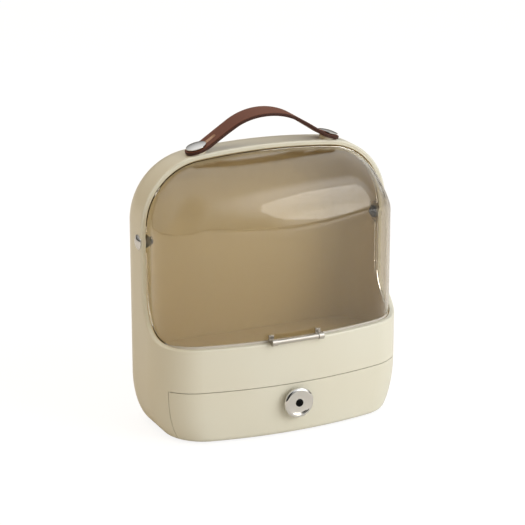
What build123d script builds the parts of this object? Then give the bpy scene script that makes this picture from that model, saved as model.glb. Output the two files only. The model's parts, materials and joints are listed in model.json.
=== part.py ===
from build123d import *
from math import asin, cos, pi, radians, sin, sqrt
import os

# A makeup organizer: a moulded housing with an arched frame, a clear domed lid that turns up on two
# pivots, a drawer whose front wraps the lower front of the housing, and a leather strap to carry it by.
# Millimetres, +Z up, X to the right, the front faces -Y. The origin is on the surface that the
# organizer stands on, under the middle of its overall width and depth, the knob included.

# Housing
width = 250.0
depth = 125.0
height = 260.0
foot_proud = 1.5
housing_wall = 3.0
rim_wall = 4.4
rim_band = 6.0
rim_rounding = 1.8
bow_radius = 377.0
front_corner_radius = 46.5
back_corner_radius = 40.0
top_corner_radius = 64.0
crown_radius = 643.0
side_run = 9.142
rim_height = 90.0
sweep_radius = 42.0
arch_rise = 3.0

# The base narrows to its foot along an elliptic curve, so many degrees of it
base_turn = 70.0
base_curve_height = 50.5
base_curve_width = 23.1
base_curve_back = 8.0
base_corner_share = 0.4
base_sections = 5
foot_rounding = 4.5

# Compartment above the drawer, and the seat of the lid round its mouth
seam_height = 49.0
floor_rise = 10.0
floor_thickness = 3.0
ledge_width = 4.6
ledge_thickness = 3.0
seat_width = 3.8
seat_drop = 0.6
seat_thickness = 2.4
fit_gap = 0.3

# Base plate, its bosses and screws, and the feet
plate_thickness = 3.0
boss_width = 8.0
boss_height = 9.0
front_boss_inset = 20.5
front_boss_setback = 12.0
back_boss_inset = 24.0
back_boss_setback = 36.5
rubber_radius = 6.0
rubber_recess = 1.5
rubber_rounding = 0.6
front_foot_inset = 49.0
front_foot_setback = 10.0
back_foot_inset = 51.0
back_foot_setback = 24.5
screw_radius = 1.5
screw_head_radius = 2.9
base_screw_length = 9.0
runner_screw_length = 4.8

# Lid
lid_wall = 2.5
lid_gap = 0.9
lid_crown_gap = 0.3
lid_rest_gap = 0.3
lid_tuck = 1.5
lid_core = 4.0
lid_shoulder = 0.8
dome_turns = (0, 25, 50, 70, 90)
dome_matched = 50.0
ear_radius = 11.0

# Pivots of the lid
pivot_drop = 80.2
pivot_setback = 6.9
pivot_shank_radius = 2.5
pivot_head_radius = 7.0
pivot_head_edge = 0.6
pivot_head_height = 2.8
pivot_boss_radius = 6.8
bush_radius = 4.0
bush_flange_radius = 6.5
side_play = 0.25
turning_gap = 0.2
nut_radius = 6.0
nut_edge = 1.8
nut_height = 6.0
nut_bore = 3.4

# Rod and clips on the lower edge of the lid
rod_radius = 2.4
rod_half_length = 25.0
rod_forward = 1.9
rod_above_rim = 1.7
clip_width = 5.0
clip_end = 1.0
clip_radius = 3.2
clip_above_rim = 0.5
clip_arm = 2.4
clip_tongue = 6.5
clip_thickness = 1.4
clip_pin_radius = 1.2
clip_pin_rise = 4.4

# Strap
strap_width = 21.5
strap_thickness = 3.3
strap_rise = 28.0
strap_bend_radius = 57.0
strap_slope = 33.0
strap_end_slope = 17.0
strap_ease_radius = 30.0
strap_reach = 77.0
strap_mount = 65.5
strap_setback = 7.9
strap_slot = 21.0
strap_slot_past = 3.0
strap_slot_width = 4.0
pad_radius = 7.0
pad_height = 1.8
pad_root = 2.4
cap_radius = 9.5
cap_hub = 3.4
cap_lift = 1.1
cap_edge = 0.7
cap_height = 3.1
stud_radius = 1.8
insert_radius = 3.2
insert_length = 3.6

# Drawer
drawer_split = 28.5
drawer_gap = 0.7
drawer_front_wall = 3.0
tray_inset = 37.0
tray_wall = 2.0
tray_front = 16.5
tray_back = 14.5
tray_clearance = 3.0
tray_headroom = 0.8
tray_corner = 6.0
rail_width = 3.0
rail_thickness = 3.0
rail_level = 26.0
rail_front = 6.0
stop_width = 2.5
stop_length = 8.0
runner_gap = 0.4
runner_wall = 2.0
runner_setback = 3.0
runner_back = 18.5
runner_foot = 10.0
runner_lug = 3.0
tray_boss_radius = 4.0
tray_boss_spread = 60.0
tray_boss_low = 17.0
tray_boss_high = 35.0
tray_screw_length = 8.0

# Knob
knob_level = 31.3
knob_radius = 14.6
knob_length = 8.0
knob_neck_radius = 6.5
knob_neck_length = 2.4
knob_bead = 2.8
knob_dish = 1.2
knob_recess_radius = 3.9
knob_recess_depth = 2.4
knob_screw_head = 1.4
knob_screw_radius = 1.5
knob_screw_length = 12.0
knob_boss_radius = 5.0
knob_boss_length = 8.5


def corner_depth(half_width, corner, bow):
    """How far behind the middle of a bowed front edge the straight sides begin."""
    turn = asin((half_width - corner) / (bow - corner))
    return bow - (bow - corner) * cos(turn)


# Places worked out from these sizes
side = width / 2
back = (depth + knob_length) / 2
front = back - depth
bottom = foot_proud
top = bottom + height
rim = bottom + rim_height
seam = bottom + seam_height
frame_front = front + corner_depth(side, front_corner_radius, bow_radius) + side_run
frame_depth = back - frame_front
bay = front + drawer_split
base_top = bottom + base_curve_height * sin(radians(base_turn))
plate_top = bottom + plate_thickness
floor_level = seam + floor_rise
sweep_y = frame_front - sweep_radius
sweep_z = rim + sweep_radius
arch_level = sweep_z + arch_rise
pivot_y = frame_front + pivot_setback
pivot_z = top - pivot_drop
lid_inset = rim_wall + lid_gap
lid_front = front + lid_inset
lid_side = side - lid_inset
lid_back = frame_front + lid_tuck
lid_corner_depth = corner_depth(lid_side, top_corner_radius - lid_inset, crown_radius - lid_inset)
lid_reach = lid_corner_depth + lid_shoulder + lid_core
lid_axis_y = lid_front + lid_reach
lid_axis_z = top - lid_inset - lid_crown_gap - lid_reach
rod_y = front - rod_forward
rod_z = rim + rod_above_rim
knob_z = bottom + knob_level
mount_y = frame_front + strap_setback
mount_tilt = radians(strap_end_slope)
mount_z = top - crown_radius + sqrt(crown_radius**2 - strap_mount**2) + pad_height
tray_half_width = side - tray_inset
tray_bottom = plate_top + tray_clearance
tray_height = seam - drawer_gap - drawer_front_wall - tray_headroom - tray_bottom
tray_front_y = front + tray_front
tray_back_y = back - tray_back
rail_z = bottom + rail_level
runner_front_y = bay + runner_setback
runner_back_y = back - runner_back
runner_inner = tray_half_width + 2 * runner_gap
runner_outer = tray_half_width + rail_width + stop_width + runner_gap + runner_wall
far = 2 * height
both_sides = (-1, 1)

os.makedirs("parts", exist_ok=True)


def across(point):
    """The same point on the other side of the middle."""
    return (-point[0], point[1])


def save(piece, name):
    """Name a finished piece and write it."""
    piece.label = name
    export_step(piece, "parts/" + name + ".step")


def border(faces):
    """The edges round a group of faces, without those that two of them share."""
    edges = [edge for face in faces for edge in face.edges()]
    return [edge for edge in edges if sum(edge.is_same(other) for other in edges) == 1]


def bowed_outline(plane, half_width, front_edge, back_edge, corner, bow, back_corner=0.0):
    """A bowed front edge, round front corners, straight sides and, if asked for, round back corners."""
    corner_x = half_width - corner
    turn = asin(corner_x / (bow - corner))
    corner_y = front_edge + corner_depth(half_width, corner, bow)
    bow_end = (bow * sin(turn), front_edge + bow * (1 - cos(turn)))
    middle = (turn + pi / 2) / 2
    corner_middle = (corner_x + corner * sin(middle), corner_y - corner * cos(middle))
    side_front = (half_width, corner_y)
    side_back = (half_width, back_edge - back_corner)
    back_side = (half_width - back_corner, back_edge)
    eighth = back_corner * (1 - sqrt(0.5))
    back_middle = (half_width - eighth, back_edge - eighth)
    with BuildSketch(plane) as outline:
        with BuildLine():
            ThreePointArc(across(bow_end), (0, front_edge), bow_end)
            ThreePointArc(bow_end, corner_middle, side_front)
            ThreePointArc(across(bow_end), across(corner_middle), across(side_front))
            Line(side_front, side_back)
            Line(across(side_front), across(side_back))
            if back_corner > 0:
                ThreePointArc(side_back, back_middle, back_side)
                ThreePointArc(across(side_back), across(back_middle), across(back_side))
            Line(back_side, across(back_side))
        make_face()
    return outline.sketch


def plan(level, inset=0.0, turn=0.0):
    """The housing seen from above at one level, inset by a wall and drawn in by the base's curve."""
    drawn_in = base_curve_width * (1 - cos(turn))
    corner_loss = base_corner_share * drawn_in + inset
    return bowed_outline(
        Plane.XY.offset(level),
        side - drawn_in - inset,
        front + inset,
        back - base_curve_back * (1 - cos(turn)) - inset,
        front_corner_radius - corner_loss,
        bow_radius - inset,
        back_corner_radius - corner_loss,
    )


def lower_form(inset=0.0, below=0.0):
    """The solid form of base and tub up to the arch, or the space inside its walls."""
    sections = []
    for step in range(base_sections + 1):
        turn = radians(base_turn) * (1 - step / base_sections)
        level = bottom + base_curve_height * (sin(radians(base_turn)) - sin(turn))
        sections.append(plan(level, inset, turn))
    with BuildPart() as form:
        loft(sections)
        if below > 0:
            extrude(sections[0], amount=-below)
        extrude(sections[-1], amount=arch_level - base_top)
    return form.part


def outer_form():
    """The outside of base and tub, with its foot rounded."""
    with BuildPart() as form:
        add(lower_form())
        fillet(form.faces().sort_by(Axis.Z)[0].edges(), foot_rounding)
    return form.part


def upper_form(inset=0.0, forward=0.0):
    """The solid form of the arched frame, or the space inside its walls."""
    outline = bowed_outline(
        Plane(origin=(0, frame_front - forward, 0), x_dir=(1, 0, 0), z_dir=(0, 1, 0)),
        side - inset,
        inset - top,
        -arch_level,
        top_corner_radius - inset,
        crown_radius - inset,
    )
    with BuildPart() as form:
        extrude(outline, amount=back - inset - frame_front + forward)
        back_edges = form.faces().sort_by(Axis.Y)[-1].edges()
        arch_edges = back_edges.filter_by(lambda edge: edge.center().Z > arch_level + housing_wall)
        fillet(arch_edges, back_corner_radius - inset)
    return form.part


def opening_form(grown, face_line):
    """The space in front of the frame and above the rim, with the sweep between them."""
    reach = sweep_radius + grown
    low = sweep_z - reach
    sweep_end = sweep_y + reach
    corners = [(sweep_y, low), (-far, low), (-far, far), (face_line, far), (face_line, sweep_z)]
    if face_line > sweep_end:
        corners.append((sweep_end, sweep_z))
    sweep_middle = (sweep_y + reach * sqrt(0.5), sweep_z - reach * sqrt(0.5))
    with BuildPart() as form:
        with BuildSketch(Plane.YZ):
            with BuildLine():
                Polyline(*corners)
                ThreePointArc(corners[-1], sweep_middle, corners[0])
            make_face()
        extrude(amount=width, both=True)
    return form.part


def wall_space(inset, behind=0.0):
    """The space inside walls of one thickness, kept so far behind the edge of the opening."""
    with BuildPart() as space:
        add(lower_form(inset, plate_thickness))
        add(upper_form(inset, rim_band))
        if behind > 0:
            add(opening_form(behind, frame_front + behind), mode=Mode.SUBTRACT)
    return space.part


def slab(low, high, near, deep):
    """A block across the whole width between two levels and two depths."""
    with BuildPart() as block:
        with BuildSketch(Plane.XY.offset(low)):
            with Locations((0, (near + deep) / 2)):
                Rectangle(2 * width, deep - near)
        extrude(amount=high - low)
    return block.part


def turning_plane(centre, axis, sideways):
    """A plane through an axis: its Y runs along the axis and its X points sideways from it."""
    return Plane(origin=centre, x_dir=sideways, z_dir=Vector(*sideways).cross(Vector(*axis)))


def dome_line(radius, edge, tip):
    """The arc of a domed head, from its edge to its tip on the axis."""
    rise = tip - edge
    ball = (radius**2 + rise**2) / (2 * rise)
    half = asin(radius / ball) / 2
    ThreePointArc((radius, edge), (ball * sin(half), tip - ball * (1 - cos(half))), (0, tip))


def domed_head(centre, axis, sideways, head, edge, tip, hub=0.0, lift=0.0):
    """A round domed head: flat below, or standing on a hub with its brim lifted."""
    brim = [(hub, 0), (head, lift)] if hub > 0 else [(head, 0)]
    with BuildPart() as dome:
        with BuildSketch(turning_plane(centre, axis, sideways)):
            with BuildLine():
                Polyline((0, tip), (0, 0), *brim, (head, lift + edge))
                dome_line(head, lift + edge, tip)
            make_face()
        revolve(axis=Axis(centre, axis))
    return dome.part


def domed_pin(centre, axis, sideways, head, edge, tip, shank, shank_length):
    """A round domed head on a shank that goes back from it along the axis."""
    with BuildPart() as pin:
        add(domed_head(centre, axis, sideways, head, edge, tip))
        add(rod_along(centre, Vector(*axis) * -1, shank, shank_length))
    return pin.part


def countersunk_screws(places, length):
    """Countersunk screws that go up from the underside of the base plate."""
    cone = screw_head_radius - screw_radius
    point = screw_radius / 2
    with BuildPart() as screws:
        for x, y in places:
            centre = (x, y, bottom)
            with BuildSketch(turning_plane(centre, (0, 0, 1), (1, 0, 0))):
                with BuildLine():
                    Polyline(
                        (0, 0),
                        (screw_head_radius, 0),
                        (screw_radius, cone),
                        (screw_radius, length - point),
                        (screw_radius - point, length),
                        (0, length),
                        close=True,
                    )
                make_face()
            revolve(axis=Axis(centre, (0, 0, 1)))
    return screws.part


def rod_along(centre, direction, radius, length):
    """A round rod that starts at a point."""
    with BuildPart() as rod:
        with BuildSketch(Plane(origin=centre, z_dir=direction)):
            Circle(radius)
        extrude(amount=length)
    return rod.part


def mount_axis(flip):
    """The direction of a strap mount, away from the housing."""
    return (flip * sin(mount_tilt), 0, cos(mount_tilt))


def mount_point(flip, rise):
    """A point on the axis of a strap mount, so far above the underside of the strap."""
    return (flip * (strap_mount + rise * sin(mount_tilt)), mount_y, mount_z + rise * cos(mount_tilt))


# Screws that come up from below, four for the housing and two for each runner
front_boss = (side - front_boss_inset, bay + front_boss_setback)
back_boss = (side - back_boss_inset, back - back_boss_setback)
front_foot = (side - front_foot_inset, bay + front_foot_setback)
back_foot = (side - back_foot_inset, back - back_foot_setback)
boss_places = [(flip * x, y) for x, y in (front_boss, back_boss) for flip in both_sides]
foot_places = [(flip * x, y) for x, y in (front_foot, back_foot) for flip in both_sides]
runner_screw_x = runner_outer - runner_wall - runner_foot / 2
runner_length = runner_back_y - runner_front_y
runner_ends = [runner_front_y + runner_length * share for share in (0.15, 0.85)]
runner_places = [(flip * runner_screw_x, y) for y in runner_ends for flip in both_sides]

base_screws = countersunk_screws(boss_places, base_screw_length)
save(base_screws, "base_screws")

runner_screws = countersunk_screws(runner_places, runner_screw_length)
save(runner_screws, "runner_screws")

# Threaded inserts for the strap, one in each pad
strap_inserts = {}
for flip, name in zip(both_sides, ("strap_insert_left", "strap_insert_right")):
    with BuildPart() as insert:
        downwards = Vector(*mount_axis(flip)) * -1
        add(rod_along(mount_point(flip, 0), downwards, insert_radius, insert_length))
        add(rod_along(mount_point(flip, 0), downwards, stud_radius, insert_length), mode=Mode.SUBTRACT)
    strap_inserts[flip] = insert.part
    save(insert.part, name)

# Bosses for the base screws, gussets that grow out of the side walls
with BuildPart() as bosses:
    for x, y in boss_places:
        outward = 1 if x > 0 else -1
        with BuildSketch(Plane.XY.offset(plate_top)):
            with Locations((x + outward * boss_width, y)):
                Rectangle(3 * boss_width, boss_width)
        extrude(amount=boss_height)
    add(lower_form(housing_wall / 2), mode=Mode.INTERSECT)

# Seat of the lid, an inner ledge round the front of the mouth
with BuildPart() as seat:
    seat_level = rim - seat_drop - seat_thickness
    extrude(plan(seat_level, rim_wall / 2), amount=seat_thickness)
    extrude(plan(seat_level, rim_wall + seat_width), amount=seat_thickness, mode=Mode.SUBTRACT)
    add(slab(seat_level, rim, sweep_y, far), mode=Mode.SUBTRACT)

# Ledge of the compartment floor
with BuildPart() as ledge:
    ledge_level = floor_level - ledge_thickness
    extrude(plan(ledge_level, housing_wall / 2), amount=ledge_thickness)
    extrude(plan(ledge_level, housing_wall + ledge_width), amount=ledge_thickness, mode=Mode.SUBTRACT)

# Housing
with BuildPart() as housing:
    add(outer_form())
    add(upper_form())
    add(opening_form(0, frame_front), mode=Mode.SUBTRACT)
    fillet(border(housing.faces(Select.LAST)), rim_rounding)
    # The mouth has a thicker bead than the walls behind it
    add(wall_space(rim_wall), mode=Mode.SUBTRACT)
    add(wall_space(housing_wall, rim_band), mode=Mode.SUBTRACT)
    add([seat.part, ledge.part, bosses.part])
    add(slab(0, seam, -far, bay), mode=Mode.SUBTRACT)
    for flip in both_sides:
        boss_face = flip * (side - rim_wall)
        outwards = (flip, 0, 0)
        boss_place = (boss_face, pivot_y, pivot_z)
        add(rod_along(boss_place, outwards, pivot_boss_radius, rim_wall - housing_wall / 2))
        add(rod_along(boss_place, outwards, pivot_shank_radius, rim_wall), mode=Mode.SUBTRACT)
        downwards = Vector(*mount_axis(flip)) * -1
        add(rod_along(mount_point(flip, 0), downwards, pad_radius, pad_height + pad_root))
        add(rod_along(mount_point(flip, 0), downwards, insert_radius, insert_length), mode=Mode.SUBTRACT)
    add(base_screws, mode=Mode.SUBTRACT)
save(housing.part, "housing")

# Base plate
with BuildPart() as base_plate:
    add(lower_form(housing_wall + fit_gap))
    add(slab(bottom, plate_top, bay + fit_gap, back), mode=Mode.INTERSECT)
    add([base_screws, runner_screws], mode=Mode.SUBTRACT)
    with BuildSketch(Plane.XY.offset(bottom)):
        with Locations(*foot_places):
            Circle(rubber_radius)
    extrude(amount=rubber_recess, mode=Mode.SUBTRACT)
save(base_plate.part, "base_plate")

# Rubber feet
with BuildPart() as rubber_feet:
    with BuildSketch():
        with Locations(*foot_places):
            Circle(rubber_radius)
    extrude(amount=foot_proud + rubber_recess)
    fillet(rubber_feet.edges().group_by(Axis.Z)[0], rubber_rounding)
save(rubber_feet.part, "rubber_feet")

# Compartment floor
with BuildPart() as compartment_floor:
    extrude(plan(floor_level, housing_wall + fit_gap), amount=floor_thickness)
save(compartment_floor.part, "compartment_floor")


def lid_form(inset=0.0, beyond=0.0):
    """The outside of the lid, or its inside: a dome whose sections turn round a line across it."""
    sections = []
    for degrees_up in dome_turns:
        share = min(1, degrees_up / dome_matched)
        turn = radians(degrees_up)
        sections.append(
            bowed_outline(
                Plane(origin=(0, lid_axis_y, lid_axis_z), x_dir=(1, 0, 0), z_dir=(0, sin(turn), cos(turn))),
                lid_side - inset,
                inset - lid_reach,
                beyond - lid_core,
                front_corner_radius + (top_corner_radius - front_corner_radius) * share - lid_inset - inset,
                bow_radius + (crown_radius - bow_radius) * share - lid_inset - inset,
            )
        )
    crown = bowed_outline(
        Plane(origin=(0, lid_axis_y, lid_axis_z), x_dir=(1, 0, 0), z_dir=(0, 1, 0)),
        lid_side - inset,
        inset - lid_reach,
        lid_core,
        top_corner_radius - lid_inset - inset,
        crown_radius - lid_inset - inset,
    )
    skirt = bowed_outline(
        Plane.XY.offset(lid_axis_z),
        lid_side - inset,
        lid_front + inset,
        lid_axis_y + frame_depth + beyond,
        front_corner_radius - lid_inset - inset,
        bow_radius - lid_inset - inset,
    )
    with BuildPart() as form:
        loft(sections)
        extrude(crown, amount=frame_depth + beyond)
        extrude(skirt, amount=rim - seat_drop - beyond - lid_axis_z)
    return form.part


# Rod on the lid
lid_handle = rod_along((-rod_half_length, rod_y, rod_z), (1, 0, 0), rod_radius, 2 * rod_half_length)
save(lid_handle, "lid_handle")

# Clips that carry the rod, each with a tongue and a pin on the lid
lid_outside = lid_form()
clips = {}
for flip, name in zip(both_sides, ("lid_clip_left", "lid_clip_right")):
    clip_low = rim + clip_above_rim
    clip_start = flip * (rod_half_length + clip_end)
    with BuildPart() as clip:
        with BuildSketch(Plane(origin=(clip_start, 0, 0), x_dir=(0, -flip, 0), z_dir=(-flip, 0, 0))):
            with Locations((-flip * rod_y, rod_z)):
                Circle(clip_radius)
            with Locations((-flip * (rod_y + lid_front) / 2, clip_low + clip_arm / 2)):
                Rectangle(lid_front - rod_y, clip_arm)
            with Locations((-flip * lid_front, clip_low + clip_tongue / 2)):
                Rectangle(2 * clip_thickness, clip_tongue)
        extrude(amount=clip_width)
        add(lid_outside, mode=Mode.SUBTRACT)
        add(lid_handle, mode=Mode.SUBTRACT)
        pin_place = (clip_start - flip * clip_width / 2, lid_front, clip_low + clip_pin_rise)
        add(rod_along(pin_place, (0, 1, 0), clip_pin_radius, clip_thickness + lid_wall))
    clips[flip] = clip.part
    save(clip.part, name)

# Lid
with BuildPart() as lid:
    add(lid_outside)
    add(lid_form(lid_wall, 2), mode=Mode.SUBTRACT)
    add(opening_form(seat_drop - lid_rest_gap, lid_back), mode=Mode.INTERSECT)
    for flip in both_sides:
        ear_face = (flip * (lid_side - lid_wall), pivot_y, pivot_z)
        add(rod_along(ear_face, (flip, 0, 0), ear_radius, lid_wall))
        add(rod_along(ear_face, (flip, 0, 0), bush_radius + turning_gap, lid_wall), mode=Mode.SUBTRACT)
    add(list(clips.values()), mode=Mode.SUBTRACT)
save(lid.part, "lid")

# Pivots of the lid: a domed screw from outside, a flanged bush in the ear and a cap nut inside
bush_end = lid_side - lid_wall - side_play
bush_flange = side - rim_wall - lid_side - side_play
for flip, hand in zip(both_sides, ("left", "right")):
    outwards = (flip, 0, 0)
    inwards = (-flip, 0, 0)
    head_place = (flip * side, pivot_y, pivot_z)
    nut_place = (flip * bush_end, pivot_y, pivot_z)
    pivot_screw = domed_pin(
        head_place,
        outwards,
        (0, 1, 0),
        pivot_head_radius,
        pivot_head_edge,
        pivot_head_height,
        pivot_shank_radius,
        side - bush_end + nut_bore,
    )
    save(pivot_screw, "pivot_screw_" + hand)
    bush_length = side - rim_wall - bush_end
    with BuildPart() as pivot_bush:
        add(rod_along(nut_place, outwards, bush_radius, bush_length))
        flange_place = (flip * (side - rim_wall), pivot_y, pivot_z)
        add(rod_along(flange_place, inwards, bush_flange_radius, bush_flange))
        add(rod_along(nut_place, outwards, pivot_shank_radius, bush_length), mode=Mode.SUBTRACT)
    save(pivot_bush.part, "pivot_bush_" + hand)
    with BuildPart() as pivot_nut:
        add(domed_head(nut_place, inwards, (0, 1, 0), nut_radius, nut_edge, nut_height))
        add(rod_along(nut_place, inwards, pivot_shank_radius, nut_bore), mode=Mode.SUBTRACT)
    save(pivot_nut.part, "pivot_nut_" + hand)

# Strap: a bent strip over the crown, with a slot at each mount
strap_middle = strap_thickness / 2
crest = top + strap_rise + strap_middle
bend = strap_bend_radius + strap_middle
slope = radians(strap_slope)
bend_end = (bend * sin(slope), crest - bend * (1 - cos(slope)))
end_x, end_y, end_z = mount_point(1, strap_middle)
fall = (end_x - bend_end[0]) * sin(mount_tilt) + (end_z - bend_end[1]) * cos(mount_tilt)
run = fall / sin(mount_tilt - slope)
knee = (bend_end[0] + run * cos(slope), bend_end[1] - run * sin(slope))
strap_tail = strap_reach - knee[0]
tail_end = (strap_reach, knee[1] - strap_tail * sin(mount_tilt) / cos(mount_tilt))
with BuildPart() as strap:
    with BuildSketch(Plane(origin=(0, mount_y, 0), x_dir=(1, 0, 0), z_dir=(0, -1, 0))):
        with BuildLine() as strap_line:
            ThreePointArc(across(bend_end), (0, crest), bend_end)
            FilletPolyline(bend_end, knee, tail_end, radius=strap_ease_radius)
            FilletPolyline(across(bend_end), across(knee), across(tail_end), radius=strap_ease_radius)
        trace(strap_line.line, line_width=strap_thickness)
    extrude(amount=strap_width / 2, both=True)
    with BuildSketch(Plane.XY.offset(arch_level)):
        with Locations((0, mount_y)):
            SlotOverall(2 * strap_reach, strap_width)
    extrude(amount=height, mode=Mode.INTERSECT)
    with BuildSketch(Plane.XY.offset(arch_level)):
        for flip in both_sides:
            with Locations((flip * (strap_mount + strap_slot_past - strap_slot / 2), mount_y)):
                SlotOverall(strap_slot, strap_slot_width)
    extrude(amount=height, mode=Mode.SUBTRACT)
save(strap.part, "strap")

# Domed caps that hold the strap
for flip, name in zip(both_sides, ("strap_cap_left", "strap_cap_right")):
    cap_place = mount_point(flip, strap_thickness)
    with BuildPart() as strap_cap:
        add(
            domed_head(
                cap_place, mount_axis(flip), (0, 1, 0), cap_radius, cap_edge, cap_height, cap_hub, cap_lift
            )
        )
        downwards = Vector(*mount_axis(flip)) * -1
        add(rod_along(cap_place, downwards, stud_radius, strap_thickness + insert_length))
    save(strap_cap.part, name)

# Drawer front, a shell open at the back, with bosses for the tray and the knob
tray_boss_levels = (bottom + tray_boss_low, bottom + tray_boss_high)
tray_boss_places = [(flip * tray_boss_spread, z) for z in tray_boss_levels for flip in both_sides]
with BuildPart() as front_bosses:
    for x, z in tray_boss_places:
        add(rod_along((x, tray_front_y, z), (0, -1, 0), tray_boss_radius, tray_front))
    add(rod_along((0, front + knob_boss_length, knob_z), (0, -1, 0), knob_boss_radius, knob_boss_length))
    add(lower_form(drawer_front_wall / 2), mode=Mode.INTERSECT)

with BuildPart() as front_hollow:
    add(lower_form(drawer_front_wall))
    add(
        slab(bottom + drawer_front_wall, seam - drawer_gap - drawer_front_wall, -far, back),
        mode=Mode.INTERSECT,
    )

with BuildPart() as tray_screws:
    for x, z in tray_boss_places:
        head_place = (x, tray_front_y + tray_wall, z)
        add(
            domed_pin(
                head_place,
                (0, 1, 0),
                (1, 0, 0),
                screw_head_radius,
                screw_radius / 2,
                screw_radius,
                screw_radius,
                tray_screw_length,
            )
        )
save(tray_screws.part, "tray_screws")

knob_screw = domed_pin(
    (0, front - knob_length + knob_recess_depth, knob_z),
    (0, -1, 0),
    (1, 0, 0),
    knob_recess_radius - turning_gap,
    knob_screw_head / 2,
    knob_screw_head,
    knob_screw_radius,
    knob_screw_length,
)
save(knob_screw, "knob_screw")

with BuildPart() as drawer_front:
    add(outer_form())
    add(slab(bottom, seam - drawer_gap, -far, bay - drawer_gap), mode=Mode.INTERSECT)
    add(front_hollow.part, mode=Mode.SUBTRACT)
    add(front_bosses.part)
    add([tray_screws.part, knob_screw], mode=Mode.SUBTRACT)
save(drawer_front.part, "drawer_front")

# Drawer tray, with a rail and a stop on each side
tray_length = tray_back_y - tray_front_y
tray_middle = (tray_back_y + tray_front_y) / 2
with BuildPart() as drawer_tray:
    with BuildSketch(Plane.XY.offset(tray_bottom)):
        with Locations((0, tray_middle)):
            RectangleRounded(2 * tray_half_width, tray_length, tray_corner)
    extrude(amount=tray_height)
    with BuildSketch(Plane.XY.offset(tray_bottom + tray_wall)):
        with Locations((0, tray_middle)):
            RectangleRounded(
                2 * (tray_half_width - tray_wall), tray_length - 2 * tray_wall, tray_corner - tray_wall
            )
    extrude(amount=tray_height, mode=Mode.SUBTRACT)
    for flip in both_sides:
        rail_start = tray_front_y + rail_front
        with BuildSketch(Plane.XY.offset(rail_z)):
            with Locations((flip * (tray_half_width - tray_wall / 2), rail_start)):
                Rectangle(
                    rail_width + tray_wall / 2,
                    runner_back_y - rail_start,
                    align=(Align.MIN if flip > 0 else Align.MAX, Align.MIN),
                )
            with Locations((flip * tray_half_width, runner_back_y)):
                Rectangle(
                    rail_width + stop_width,
                    stop_length,
                    align=(Align.MIN if flip > 0 else Align.MAX, Align.MAX),
                )
        extrude(amount=rail_thickness)
    add(tray_screws.part, mode=Mode.SUBTRACT)
save(drawer_tray.part, "drawer_tray")

# Runners: channels on the base plate, with a lug at the front that stops the drawer
slot_low = rail_z - runner_gap
slot_high = rail_z + rail_thickness + runner_gap
web = runner_outer - runner_wall
runner_profile = [
    (web - runner_foot, plate_top),
    (runner_outer, plate_top),
    (runner_outer, slot_high + runner_wall),
    (runner_inner, slot_high + runner_wall),
    (runner_inner, slot_high),
    (web, slot_high),
    (web, slot_low),
    (runner_inner, slot_low),
    (runner_inner, slot_low - runner_wall),
    (web, slot_low - runner_wall),
    (web, plate_top + runner_wall),
    (web - runner_foot, plate_top + runner_wall),
]
for flip, name in zip(both_sides, ("runner_left", "runner_right")):
    with BuildPart() as runner:
        with BuildSketch(Plane(origin=(0, runner_front_y, 0), x_dir=(1, 0, 0), z_dir=(0, -1, 0))):
            with BuildLine():
                Polyline(*[(flip * x, z) for x, z in runner_profile], close=True)
            make_face()
        extrude(amount=-runner_length)
        lug_inner = tray_half_width + rail_width + runner_gap
        with BuildSketch(Plane.XY.offset(slot_low)):
            with Locations((flip * (lug_inner + web) / 2, runner_front_y + runner_lug / 2)):
                Rectangle(web - lug_inner, runner_lug)
        extrude(amount=slot_high - slot_low)
        add(runner_screws, mode=Mode.SUBTRACT)
    save(runner.part, name)

# Knob: a neck, a disc with a rounded bead round its dished face, and a recess for the screw
knob_place = (0, front, knob_z)
bead_middle = knob_bead * (1 - sqrt(0.5))
dish_edge = knob_radius - knob_bead
with BuildPart() as drawer_knob:
    with BuildSketch(turning_plane(knob_place, (0, -1, 0), (1, 0, 0))):
        with BuildLine():
            Polyline(
                (dish_edge, knob_neck_length),
                (knob_neck_radius, knob_neck_length),
                (knob_neck_radius, 0),
                (knob_screw_radius, 0),
                (knob_screw_radius, knob_length - knob_recess_depth),
                (knob_recess_radius, knob_length - knob_recess_depth),
                (knob_recess_radius, knob_length - knob_dish),
            )
            ThreePointArc(
                (knob_recess_radius, knob_length - knob_dish),
                ((knob_recess_radius + dish_edge) / 2, knob_length - 0.8 * knob_dish),
                (dish_edge, knob_length),
            )
            ThreePointArc(
                (dish_edge, knob_length),
                (knob_radius - bead_middle, knob_length - bead_middle),
                (knob_radius, knob_length - knob_bead),
            )
            ThreePointArc(
                (knob_radius, knob_length - knob_bead),
                (knob_radius - bead_middle, knob_neck_length + bead_middle),
                (dish_edge, knob_neck_length),
            )
        make_face()
    revolve(axis=Axis(knob_place, (0, -1, 0)))
save(drawer_knob.part, "drawer_knob")
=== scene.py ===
import json
from math import cos, pi, radians, sin

import bmesh
import bpy
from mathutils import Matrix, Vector


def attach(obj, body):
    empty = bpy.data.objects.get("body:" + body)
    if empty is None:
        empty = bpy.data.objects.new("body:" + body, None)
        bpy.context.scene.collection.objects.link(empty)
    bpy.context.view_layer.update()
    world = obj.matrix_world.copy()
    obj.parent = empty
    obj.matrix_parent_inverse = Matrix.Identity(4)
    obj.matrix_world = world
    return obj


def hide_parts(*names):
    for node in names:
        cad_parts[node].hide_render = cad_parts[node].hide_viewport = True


# The looks of a makeup organizer: cream moulded housing, clear domed lid, wrapped drawer, leather strap.
# Metres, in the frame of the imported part: +Z up, the front faces -Y. A number times MM is in millimetres.
# Patterns follow object coordinates, which are the same metres: every object's origin is the frame's.

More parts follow.
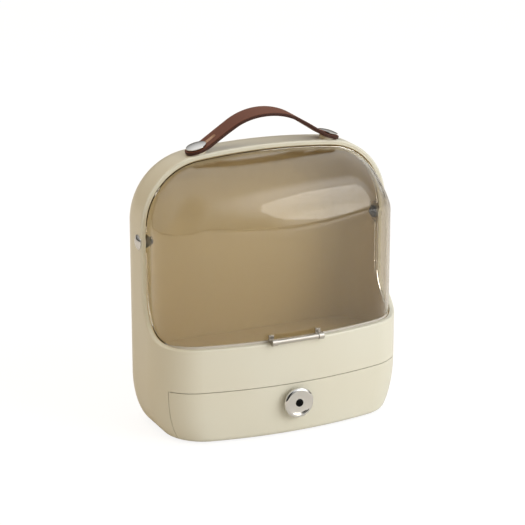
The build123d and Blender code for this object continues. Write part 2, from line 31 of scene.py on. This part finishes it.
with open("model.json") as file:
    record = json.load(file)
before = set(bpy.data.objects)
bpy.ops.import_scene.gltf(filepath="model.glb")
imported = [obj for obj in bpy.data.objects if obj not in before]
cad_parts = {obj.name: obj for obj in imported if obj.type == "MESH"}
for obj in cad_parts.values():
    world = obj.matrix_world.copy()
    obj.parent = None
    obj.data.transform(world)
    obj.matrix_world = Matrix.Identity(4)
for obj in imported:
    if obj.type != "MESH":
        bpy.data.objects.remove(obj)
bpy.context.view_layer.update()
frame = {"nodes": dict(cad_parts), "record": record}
MM = 0.001


def linear(sheet_colour):
    """A colour written as sRGB hex, as the linear numbers that a shader takes."""
    channels = [int(sheet_colour[place : place + 2], 16) / 255 for place in (1, 3, 5)]
    opened = [c / 12.92 if c <= 0.04045 else ((c + 0.055) / 1.055) ** 2.4 for c in channels]
    return (*opened, 1.0)


def per_metre(size_mm):
    """The scale that gives a pattern features of this many millimetres."""
    return 1 / (size_mm * MM)


def add_node(tree, kind, inputs=None, **settings):
    """Adds a node with its settings; each input is a value or the output that feeds it."""
    node = tree.nodes.new("ShaderNode" + kind)
    for name, value in settings.items():
        setattr(node, name, value)
    for name, value in (inputs or {}).items():
        socket = node.inputs[name]
        if isinstance(value, bpy.types.NodeSocket):
            tree.links.new(value, socket)
        else:
            socket.default_value = value
    return node


def new_finish(name):
    """A material with an empty node tree."""
    material = bpy.data.materials.new(name)
    material.use_nodes = True
    tree = material.node_tree
    tree.nodes.clear()
    return material, tree


def unevenness(tree, place, size_mm, low, high, detail=2.0):
    """A value that wanders between two levels over a given distance."""
    noise = add_node(tree, "TexNoise", {"Vector": place, "Scale": per_metre(size_mm), "Detail": detail})
    # Noise seldom leaves the middle of its range, so that middle is spread over the two levels
    spread = add_node(
        tree,
        "MapRange",
        {"Value": noise.outputs["Fac"], "From Min": 0.3, "From Max": 0.7, "To Min": low, "To Max": high},
    )
    return spread.outputs["Result"]


CREAM = "#D7D5C5"
CREAM_YELLOWED = "#D5D0BB"
# CREAM_IN_SHADE is painted shade, for faces that look into the compartment
CREAM_IN_SHADE = "#C9B891"
COMPARTMENT_MIDDLE = (0, 3 * MM, 85 * MM)


def moulded_abs(name, painted_shade_colour):
    """Gloss ABS, injection moulded: an even cream; tone and gloss drift a little over a hand's width; faces
    that look into the compartment get painted shade.
    """
    material, tree = new_finish(name)
    place = add_node(tree, "TexCoord").outputs["Object"]
    cream = add_node(
        tree,
        "Mix",
        {
            "Factor": unevenness(tree, place, 70, 0.0, 0.5, detail=0.0),
            "A": linear(CREAM),
            "B": linear(CREAM_YELLOWED),
        },
        data_type="RGBA",
    )
    # Faces that look to the middle of the compartment get painted shade: a darker, warmer cream that stands
    # in for the shade inside it
    outwards = add_node(tree, "VectorMath", {0: place, 1: COMPARTMENT_MIDDLE}, operation="SUBTRACT")
    normal = add_node(tree, "NewGeometry").outputs["Normal"]
    facing = add_node(
        tree, "VectorMath", {0: outwards.outputs["Vector"], 1: normal}, operation="DOT_PRODUCT"
    )
    inside = add_node(
        tree, "MapRange", {"Value": facing.outputs["Value"], "From Min": 0.0, "From Max": -20 * MM}
    )
    colour = add_node(
        tree,
        "Mix",
        {"Factor": inside.outputs["Result"], "A": cream.outputs["Result"], "B": linear(painted_shade_colour)},
        data_type="RGBA",
    )
    shader = add_node(
        tree,
        "BsdfPrincipled",
        {
            "Base Color": colour.outputs["Result"],
            "Roughness": unevenness(tree, place, 60, 0.28, 0.33, detail=0.0),
            "IOR": 1.54,
        },
    )
    add_node(tree, "OutputMaterial", {"Surface": shader.outputs["BSDF"]})
    return material


# Distances from the lid's middle plane between which its flow lines grow and fade, and heights over which
# its painted lip highlight comes in
FLOW_FROM = 96 * MM
FLOW_FULL = 110 * MM
FLOW_FADES = 111 * MM
FLOW_ENDS = 116 * MM
LIP_FROM = 93.4 * MM
LIP_FULL = 92.6 * MM


def clear_polystyrene():
    """Clear polystyrene, moulded: smoky and faintly wavy, with flow lines at its corners and a painted
    highlight along its lip.
    """
    material, tree = new_finish("clear_polystyrene")
    place = add_node(tree, "TexCoord").outputs["Object"]
    apart = add_node(tree, "SeparateXYZ", {"Vector": place})
    ripple = add_node(tree, "TexNoise", {"Vector": place, "Scale": per_metre(45), "Detail": 0.0})
    waves = add_node(
        tree, "Bump", {"Height": ripple.outputs["Fac"], "Strength": 0.2, "Distance": 1.5 * MM}
    )
    # The melt ran upwards in the mould, so the lines are stretched along Z
    stretch = add_node(tree, "Mapping", {"Vector": place, "Scale": (1.0, 1.0, 0.02)})
    lines = add_node(
        tree, "TexNoise", {"Vector": stretch.outputs["Vector"], "Scale": per_metre(5), "Detail": 1.0}
    )
    # They grow towards the rounded corners and end before the flat sides
    off_middle = add_node(tree, "Math", {0: apart.outputs["X"]}, operation="ABSOLUTE").outputs["Value"]
    growing = add_node(
        tree, "MapRange", {"Value": off_middle, "From Min": FLOW_FROM, "From Max": FLOW_FULL}
    )
    fading = add_node(
        tree,
        "MapRange",
        {"Value": off_middle, "From Min": FLOW_FADES, "From Max": FLOW_ENDS, "To Min": 0.5, "To Max": 0.0},
    )
    corner = add_node(
        tree, "Math", {0: growing.outputs["Result"], 1: fading.outputs["Result"]}, operation="MULTIPLY"
    )
    relief = add_node(
        tree,
        "Bump",
        {
            "Height": lines.outputs["Fac"],
            "Strength": corner.outputs["Value"],
            "Distance": 0.6 * MM,
            "Normal": waves.outputs["Normal"],
        },
    )
    clear = add_node(
        tree,
        "BsdfPrincipled",
        {
            "Base Color": linear("#E6E1D6"),
            "Roughness": 0.0,
            "IOR": 1.57,
            "Transmission Weight": 1.0,
            "Normal": relief.outputs["Normal"],
        },
    )
    # A painted highlight: the lower lip is drawn as a pale opaque band for the light that runs inside the
    # wall and gathers there
    lip_highlight_share = add_node(
        tree,
        "MapRange",
        {"Value": apart.outputs["Z"], "From Min": LIP_FROM, "From Max": LIP_FULL, "To Max": 0.8},
    )
    painted_lip_highlight = add_node(tree, "BsdfPrincipled", {"Base Color": linear("#D9D6CE"), "Roughness": 0.12})
    wall = add_node(
        tree,
        "MixShader",
        {0: lip_highlight_share.outputs["Result"], 1: clear.outputs["BSDF"], 2: painted_lip_highlight.outputs["BSDF"]},
    )
    # Lamps shine through the lid, which bends their light too little to matter
    lamp_light = add_node(tree, "BsdfTransparent", {"Color": linear("#DDD8CE")})
    rays = add_node(tree, "LightPath")
    surface = add_node(
        tree,
        "MixShader",
        {0: rays.outputs["Is Shadow Ray"], 1: wall.outputs["Shader"], 2: lamp_light.outputs["BSDF"]},
    )
    add_node(tree, "OutputMaterial", {"Surface": surface.outputs["Shader"]})
    return material


def worked_metal(name, colour, roughness, smear, turned_round=None):
    """A metal with finger smears in its polish and, where it was turned, rings round a point of its face."""
    material, tree = new_finish(name)
    place = add_node(tree, "TexCoord").outputs["Object"]
    inputs = {
        "Base Color": linear(colour),
        "Metallic": 1.0,
        "Roughness": unevenness(tree, place, 6, roughness, roughness + smear, detail=3.0),
    }
    if turned_round:
        centred = add_node(tree, "VectorMath", {0: place, 1: turned_round}, operation="SUBTRACT")
        # This scale gives a ring every 1.6 mm, much coarser than a lathe's feed, so that they show
        rings = add_node(
            tree,
            "TexWave",
            {"Vector": centred.outputs["Vector"], "Scale": per_metre(5)},
            wave_type="RINGS",
            rings_direction="Y",
        )
        relief = add_node(
            tree, "Bump", {"Height": rings.outputs["Fac"], "Strength": 0.2, "Distance": 0.03 * MM}
        )
        inputs["Normal"] = relief.outputs["Normal"]
    shader = add_node(tree, "BsdfPrincipled", inputs)
    add_node(tree, "OutputMaterial", {"Surface": shader.outputs["BSDF"]})
    return material


def grained_plastic(name, colour, other, roughness, grain_mm):
    """A plastic or rubber dulled by a spark-eroded mould's grain, as parts are that nobody looks at."""
    material, tree = new_finish(name)
    place = add_node(tree, "TexCoord").outputs["Object"]
    # The real grain is a tenth of a millimetre or less and would not show, so it is drawn coarser
    grain = add_node(tree, "TexNoise", {"Vector": place, "Scale": per_metre(grain_mm), "Detail": 2.0})
    relief = add_node(
        tree, "Bump", {"Height": grain.outputs["Fac"], "Strength": 0.3, "Distance": 0.1 * MM}
    )
    tone = add_node(
        tree,
        "Mix",
        {"Factor": unevenness(tree, place, 30, 0.0, 1.0), "A": linear(colour), "B": linear(other)},
        data_type="RGBA",
    )
    shader = add_node(
        tree,
        "BsdfPrincipled",
        {
            "Base Color": tone.outputs["Result"],
            "Roughness": roughness,
            "Normal": relief.outputs["Normal"],
        },
    )
    add_node(tree, "OutputMaterial", {"Surface": shader.outputs["BSDF"]})
    return material


def finished_leather():
    """Cow leather, dyed and finished: pebbled brown with lighter pull marks, painted edges, slot walls with
    a painted highlight.
    """
    material, tree = new_finish("finished_leather")
    flat = add_node(tree, "Attribute", attribute_name="flat_place").outputs["Vector"]
    # The pebbles are 1.3 mm wide, somewhat coarser than the real grain, so that they show
    pebbles = add_node(
        tree, "TexVoronoi", {"Vector": flat, "Scale": per_metre(1.3)}, feature="SMOOTH_F1"
    )
    creases = add_node(tree, "TexNoise", {"Vector": flat, "Scale": per_metre(7), "Detail": 4.0})
    grain = add_node(
        tree, "Math", {0: pebbles.outputs["Distance"], 1: creases.outputs["Fac"]}, operation="ADD"
    )
    relief = add_node(
        tree, "Bump", {"Height": grain.outputs["Value"], "Strength": 0.5, "Distance": 0.25 * MM}
    )
    face = add_node(
        tree,
        "Mix",
        {
            "Factor": unevenness(tree, flat, 12, 0.0, 1.0, detail=4.0),
            "A": linear("#5E3220"),
            "B": linear("#754327"),
        },
        data_type="RGBA",
    )
    # The cut edges are painted and burnished dark
    edge = add_node(tree, "Attribute", attribute_name="edge_paint").outputs["Fac"]
    painted = add_node(
        tree,
        "Mix",
        {"Factor": edge, "A": face.outputs["Result"], "B": linear("#3A1E14")},
        data_type="RGBA",
    )
    # The punched slots' walls are painted pale, in the colour of raw hide: a painted highlight for the
    # bright line along each slot, where the gap would be in shadow
    slot_light = add_node(tree, "Attribute", attribute_name="slot_highlight").outputs["Fac"]
    colour = add_node(
        tree,
        "Mix",
        {"Factor": slot_light, "A": painted.outputs["Result"], "B": linear("#D9B8A0")},
        data_type="RGBA",
    )
    shader = add_node(
        tree,
        "BsdfPrincipled",
        {
            "Base Color": colour.outputs["Result"],
            "Roughness": unevenness(tree, flat, 9, 0.42, 0.55),
            "Normal": relief.outputs["Normal"],
            "Specular IOR Level": 0.3,
        },
    )
    add_node(tree, "OutputMaterial", {"Surface": shader.outputs["BSDF"]})
    return material


CHROME = "#DDDCD9"
KNOB_MIDDLE = (0, 0, 32.8 * MM)

# Finishes by the record's material slots
finishes = {
    "cream_abs": moulded_abs("gloss_abs", CREAM_IN_SHADE),
    "clear_styrene": clear_polystyrene(),
    "leather": finished_leather(),
    # Plated over polished steel: a mirror, barely dulled by fingers
    "chrome": worked_metal("plated_chrome", CHROME, roughness=0.06, smear=0.05),
    # Brushed and tumbled: a soft sheen
    "satin_steel": worked_metal("satin_steel", "#BDB9B2", roughness=0.2, smear=0.08),
    # Black oxide under oil: a dark gloss
    "dark_steel": worked_metal("blackened_steel", "#19191B", roughness=0.18, smear=0.1),
    # Straight off the lathe: warm and slightly dull
    "brass": worked_metal("turned_brass", "#C9A561", roughness=0.25, smear=0.1),
    # Unpolished mouldings: waxy, matt and very matt
    "acetal": grained_plastic("natural_acetal", "#DDDAD0", "#D2CEC2", roughness=0.45, grain_mm=0.8),
    "inner_plastic": grained_plastic(
        "matt_polypropylene", "#CFC9B2", "#C8C0A6", roughness=0.5, grain_mm=0.8
    ),
    "rubber": grained_plastic("moulded_rubber", "#262626", "#303030", roughness=0.75, grain_mm=0.9),
}
slot_of = {row["node"]: row["material_slot"] for row in frame["record"]["subparts"]}
for name, piece in frame["nodes"].items():
    piece.data.materials.clear()
    piece.data.materials.append(finishes[slot_of[name]])

# The drawer front's top edge looks to the compartment's middle from outside it, so it gets no painted shade
frame["nodes"]["drawer_front"].data.materials[0] = moulded_abs("front_abs", CREAM)
# The knob's face was turned before it was plated
turned_chrome = worked_metal("turned_chrome", CHROME, roughness=0.06, smear=0.05, turned_round=KNOB_MIDDLE)
frame["nodes"]["drawer_knob"].data.materials[0] = turned_chrome


# The leather strap, in millimetres: cut flat with round ends and two slots, its edges rounded over
STRAP_THICK = 3.3
STRAP_HALF_WIDTH = 10.75
STRAP_HALF_LENGTH = 84.7
STRAP_EDGE = 0.9
SLOT_HALF_WIDTH = 2.0
SLOT_FROM = 52.3
SLOT_TO = 76.1
SLOT_RIM = 1.0
PAINT_FADE = 0.4
# Its mesh: steps round each end, cuts across and along it, and how near points and cuts count as one
END_STEPS = 20
CUT_EVERY = 2.0
LONG_CUTS = (-9.4, -6.5, -3.6, 0, 3.6, 6.5, 9.4)
SAME_POINT = 0.001
ON_THE_CUT = 0.01
# Its bend over the frame's crown: an arc, a straight slope, and an arc back to the slope of its ends
STRAP_Y = 14.5
STRAP_CREST = 291.15
STRAP_BEND = 58.65
STRAP_SLOPE = radians(33)
STRAP_RUN = 29.62
STRAP_EASE = 30.0
STRAP_END_SLOPE = radians(17)
STRAP_LEAN = radians(6)


def strap_place(along):
    """Where the strap's middle line is so far from its crest, and how steeply it falls there."""
    span = abs(along)
    arc = STRAP_BEND * STRAP_SLOPE
    turn = min(span, arc) / STRAP_BEND
    x = STRAP_BEND * sin(turn)
    z = STRAP_CREST - STRAP_BEND * (1 - cos(turn))
    run = min(max(span - arc, 0), STRAP_RUN)
    x += run * cos(turn)
    z -= run * sin(turn)
    eased = min(max(span - arc - STRAP_RUN, 0) / STRAP_EASE, STRAP_SLOPE - STRAP_END_SLOPE)
    x += STRAP_EASE * (sin(turn) - sin(turn - eased))
    z -= STRAP_EASE * (cos(turn - eased) - cos(turn))
    turn -= eased
    rest = max(span - arc - STRAP_RUN - STRAP_EASE * eased, 0)
    x += rest * cos(turn)
    z -= rest * sin(turn)
    side = 1 if along >= 0 else -1
    return side * x, z, side * turn


def round_ended(first, last, half_width, clockwise=False):
    """The outline of a strip with round ends, as points in the flat leather."""
    points = []
    for centre, start in ((last - half_width, -pi / 2), (first + half_width, pi / 2)):
        for step in range(END_STEPS + 1):
            turn = start + pi * step / END_STEPS
            points.append((centre + half_width * cos(turn), half_width * sin(turn), 0.0))
    return points[::-1] if clockwise else points


def flat_leather():
    """The mesh of the strap before it is bent: round ends, slots and rounded edges."""
    leather = bpy.data.curves.new("strap_cut", "CURVE")
    leather.dimensions = "2D"
    leather.fill_mode = "BOTH"
    leather.extrude = STRAP_THICK / 2 - STRAP_EDGE
    leather.bevel_depth = STRAP_EDGE
    leather.bevel_resolution = 2
    # The rounding stands out from the outline by its own radius, also into the slots
    length = STRAP_HALF_LENGTH - STRAP_EDGE
    slot_width = SLOT_HALF_WIDTH + STRAP_EDGE
    outlines = [round_ended(-length, length, STRAP_HALF_WIDTH - STRAP_EDGE)]
    for first, last in ((SLOT_FROM, SLOT_TO), (-SLOT_TO, -SLOT_FROM)):
        outlines.append(round_ended(first - STRAP_EDGE, last + STRAP_EDGE, slot_width, clockwise=True))
    for outline in outlines:
        spline = leather.splines.new("POLY")
        spline.points.add(len(outline) - 1)
        for point, place in zip(spline.points, outline):
            point.co = (*place, 1.0)
        spline.use_cyclic_u = True
    holder = bpy.data.objects.new("strap_cut", leather)
    bpy.context.scene.collection.objects.link(holder)
    seen = holder.evaluated_get(bpy.context.evaluated_depsgraph_get())
    mesh = bpy.data.meshes.new_from_object(seen)
    bpy.data.objects.remove(holder)

    # Cuts across and along it let the flat strap bend smoothly
    form = bmesh.new()
    form.from_mesh(mesh)
    bmesh.ops.remove_doubles(form, verts=form.verts, dist=SAME_POINT)
    last_cut = int(STRAP_HALF_LENGTH / CUT_EVERY)
    cuts = [((CUT_EVERY * step, 0, 0), (1, 0, 0)) for step in range(-last_cut, last_cut + 1)]
    cuts += [((0, across, 0), (0, 1, 0)) for across in LONG_CUTS]
    for place, direction in cuts:
        whole = form.verts[:] + form.edges[:] + form.faces[:]
        bmesh.ops.bisect_plane(form, geom=whole, plane_co=place, plane_no=direction, dist=ON_THE_CUT)
    form.to_mesh(mesh)
    form.free()
    return mesh


def leather_strap():
    """The bent strap; its attributes keep each point's place in the flat leather, what is cut edge, and
    where the slot walls get a painted highlight.
    """
    mesh = flat_leather()
    flat = [tuple(vertex.co) for vertex in mesh.vertices]
    flat_place = mesh.attributes.new("flat_place", "FLOAT_VECTOR", "POINT")
    edge_paint = mesh.attributes.new("edge_paint", "FLOAT", "POINT")
    slot_highlight = mesh.attributes.new("slot_highlight", "FLOAT", "POINT")
    for index, (along, across, rise) in enumerate(flat):
        flat_place.data[index].vector = (along * MM, across * MM, rise * MM)
        cut_side = min(1, (STRAP_THICK / 2 - abs(rise)) / PAINT_FADE)
        beside_slot = SLOT_FROM - SLOT_RIM < abs(along) < SLOT_TO + SLOT_RIM
        in_slot = beside_slot and abs(across) < SLOT_HALF_WIDTH + STRAP_EDGE
        edge_paint.data[index].value = cut_side
        # Slot walls get the painted highlight
        slot_highlight.data[index].value = cut_side if in_slot else 0.0
        x, z, turn = strap_place(along)
        # The leather leans forward a little at its crest, as a hand has left it
        lean = STRAP_LEAN * max(0, cos(pi / 2 * along / SLOT_FROM)) ** 2 if abs(along) < SLOT_FROM else 0
        sunk = STRAP_HALF_WIDTH * sin(lean)
        mesh.vertices[index].co = (
            (x + rise * sin(turn)) * MM,
            (STRAP_Y + across * cos(lean) - rise * sin(lean)) * MM,
            (z - sunk + rise * cos(turn) * cos(lean) + across * sin(lean)) * MM,
        )
    mesh.shade_smooth()
    mesh.materials.clear()
    mesh.materials.append(finishes["leather"])
    strap = bpy.data.objects.new("leather_strap", mesh)
    bpy.context.scene.collection.objects.link(strap)
    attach(strap, "housing")
    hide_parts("strap")


leather_strap()


def studio_floor():
    """A floor of pale paper, which takes the object's shadow and turns to white for the camera."""
    reach = 14.0
    corners = [(-reach, -reach, 0), (reach, -reach, 0), (reach, reach, 0), (-reach, reach, 0)]
    sheet = bpy.data.meshes.new("studio_floor")
    sheet.from_pydata(corners, [], [(0, 1, 2, 3)])
    floor = bpy.data.objects.new("studio_floor", sheet)
    bpy.context.scene.collection.objects.link(floor)
    material, tree = new_finish("studio_floor")
    paper = add_node(tree, "BsdfDiffuse", {"Color": linear("#EDECEA")})
    # The camera sees mostly this glow, which is as white as the background; the paper keeps the shadow
    glow = add_node(tree, "Emission", {"Color": linear("#FFFFFF"), "Strength": 1.15})
    rays = add_node(tree, "LightPath")
    share = add_node(tree, "Math", {0: rays.outputs["Is Camera Ray"], 1: 0.75}, operation="MULTIPLY")
    surface = add_node(
        tree,
        "MixShader",
        {0: share.outputs["Value"], 1: paper.outputs["BSDF"], 2: glow.outputs["Emission"]},
    )
    add_node(tree, "OutputMaterial", {"Surface": surface.outputs["Shader"]})
    sheet.materials.append(material)


def soft_patch(tree, looking, towards, edge, core, outside=0.0, inside=1.0):
    """A level that changes softly round one direction; edge and core are cosines of the angle to it."""
    near = add_node(tree, "VectorMath", {0: looking, 1: towards}, operation="DOT_PRODUCT")
    level = add_node(
        tree,
        "MapRange",
        {
            "Value": near.outputs["Value"],
            "From Min": edge,
            "From Max": core,
            "To Min": outside,
            "To Max": inside,
        },
        interpolation_type="SMOOTHSTEP",
    )
    return level.outputs["Result"]


def studio_surround():
    """The room: soft ambient light, what gloss and chrome mirror, and white behind the object."""
    world = bpy.data.worlds.new("studio")
    world.use_nodes = True
    tree = world.node_tree
    tree.nodes.clear()
    looking = add_node(tree, "TexCoord").outputs["Generated"]
    direction = add_node(tree, "SeparateXYZ", {"Vector": looking})
    # Ambient light: a white room on the right and a warm tan wall on the left
    across = add_node(
        tree, "MapRange", {"Value": direction.outputs["X"], "From Min": -0.9, "From Max": 0.1}
    )
    room = add_node(
        tree,
        "Mix",
        {"Factor": across.outputs["Result"], "A": linear("#B2925A"), "B": linear("#FFFFFF")},
        data_type="RGBA",
    )
    ambient = add_node(tree, "Background", {"Color": room.outputs["Result"], "Strength": 0.72})
    # Mirrored in polish: a bright ceiling over a dark horizon, which gives chrome its contrast
    ceiling = add_node(
        tree, "MapRange", {"Value": direction.outputs["Z"], "From Min": 0.02, "From Max": 0.75}
    )
    mirrored = add_node(
        tree,
        "Mix",
        {"Factor": ceiling.outputs["Result"], "A": linear("#4A463F"), "B": linear("#FFFFFF")},
        data_type="RGBA",
    )
    # In front of them are a dark doorway on the left and a pale low wall on the right
    doorway = ((-0.66, -0.56, 0.50), 0.72, 0.96, "#1B1813")
    low_wall = ((0.55, -0.83, 0.06), 0.95, 0.99, "#E8E4DA")
    for towards, edge, core, colour in (doorway, low_wall):
        share = soft_patch(tree, looking, towards, edge, core)
        mirrored = add_node(
            tree,
            "Mix",
            {"Factor": share, "A": mirrored.outputs["Result"], "B": linear(colour)},
            data_type="RGBA",
        )
    # The window on the right is brighter than the room
    window = soft_patch(tree, looking, (0.63, -0.66, 0.41), 0.82, 0.93, outside=1.0, inside=3.2)
    reflected = add_node(tree, "Background", {"Color": mirrored.outputs["Result"], "Strength": window})
    rays = add_node(tree, "LightPath")
    lit = add_node(
        tree,
        "MixShader",
        {
            0: rays.outputs["Is Glossy Ray"],
            1: ambient.outputs["Background"],
            2: reflected.outputs["Background"],
        },
    )
    # The camera sees plain white behind the object, also through the lid
    white = add_node(tree, "Background", {"Color": linear("#FFFFFF"), "Strength": 1.0})
    seen = add_node(
        tree,
        "Math",
        {0: rays.outputs["Is Camera Ray"], 1: rays.outputs["Is Transmission Ray"]},
        operation="MAXIMUM",
    )
    surround = add_node(
        tree,
        "MixShader",
        {0: seen.outputs["Value"], 1: lit.outputs["Shader"], 2: white.outputs["Background"]},
    )
    add_node(tree, "OutputWorld", {"Surface": surround.outputs["Shader"]})
    bpy.context.scene.world = world


def lamp(name, spot, aim_height, size, power, colour, seen_in_lid):
    """A round softbox that faces a point over the frame's origin; the clear lid's wall mirrors it or not."""
    light = bpy.data.lights.new(name, "AREA")
    light.shape = "DISK"
    light.size = size
    light.energy = power
    light.color = linear(colour)[:3]
    holder = bpy.data.objects.new(name, light)
    holder.location = spot
    aim = Vector((0, 0, aim_height))
    holder.rotation_euler = (aim - Vector(spot)).to_track_quat("-Z", "Y").to_euler()
    # Polish mirrors the surround's window, so no lamp adds an outline of its own
    holder.visible_glossy = False
    holder.visible_transmission = seen_in_lid
    bpy.context.scene.collection.objects.link(holder)


def camera():
    """The photograph's view: from the front left and above, with a long lens."""
    lens = bpy.data.cameras.new("camera")
    lens.lens = 140.4
    lens.shift_x = -0.0007
    lens.sensor_width = 36.0
    holder = bpy.data.objects.new("camera", lens)
    holder.location = (-0.7740, -1.6416, 0.7165)
    aim = Vector((-0.0049, 0.0040, 0.1488))
    holder.rotation_euler = (aim - holder.location).to_track_quat("-Z", "Y").to_euler()
    bpy.context.scene.collection.objects.link(holder)
    bpy.context.scene.camera = holder


studio_floor()
studio_surround()
lamp("key_softbox", (1.6, -1.9, 1.15), 0.14, size=2.0, power=41, colour="#FFFFFF", seen_in_lid=True)
lamp("warm_top", (-0.9, 0.9, 2.0), 0.2, size=1.2, power=10.5, colour="#FFE6BE", seen_in_lid=False)
lamp("warm_fill", (-2.2, -0.6, 0.7), 0.14, size=1.8, power=2.4, colour="#FFD9A0", seen_in_lid=True)
camera()
bpy.context.scene.view_settings.view_transform = "Standard"
